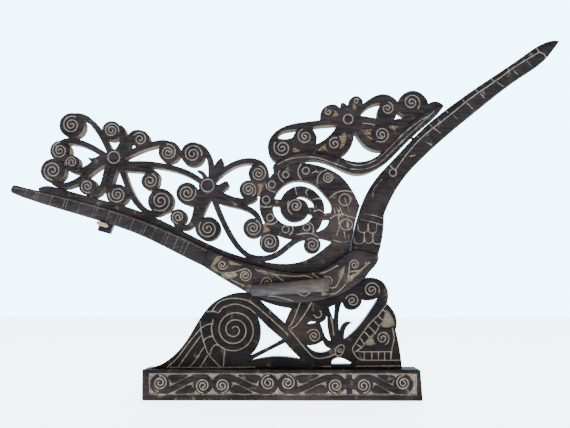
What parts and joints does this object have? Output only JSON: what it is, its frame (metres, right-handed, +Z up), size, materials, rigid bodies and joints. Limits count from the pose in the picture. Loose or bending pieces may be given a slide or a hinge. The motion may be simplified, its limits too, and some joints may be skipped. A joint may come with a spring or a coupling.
{
  "type": "carved wooden bird display stand",
  "caption": "Openwork carved wooden bird with a long raised beak and scroll crests, on a carved foot panel and plinth.",
  "frame": {"origin": "centre of the plinth's underside", "axes": "+Z up, +X towards the beak, the carving's middle plane is Y = 0"},
  "size_m": [0.8261, 0.0788, 0.5372],
  "materials": {
    "stained_wood": "dark brown stain, satin, worn",
    "raw_wood": "bare, matte"
  },
  "bodies": {
    "root": {"plinth": "stained_wood", "foot_panel": "stained_wood", "body": "stained_wood", "tail_blade": "stained_wood", "neck_beak": "stained_wood", "lower_crest": "stained_wood", "upper_crest": "stained_wood", "wing_bar_front": "stained_wood", "wing_bar_back": "stained_wood", "wing_bar_dowel": "raw_wood", "tail_lock_peg": "raw_wood", "neck_dowel": "raw_wood", "tail_dowel": "raw_wood", "foot_dowels": "raw_wood", "crest_rail_pins": "raw_wood", "crest_ring_pin": "raw_wood", "crest_beak_pin": "raw_wood"}
  },
  "joints": []
}
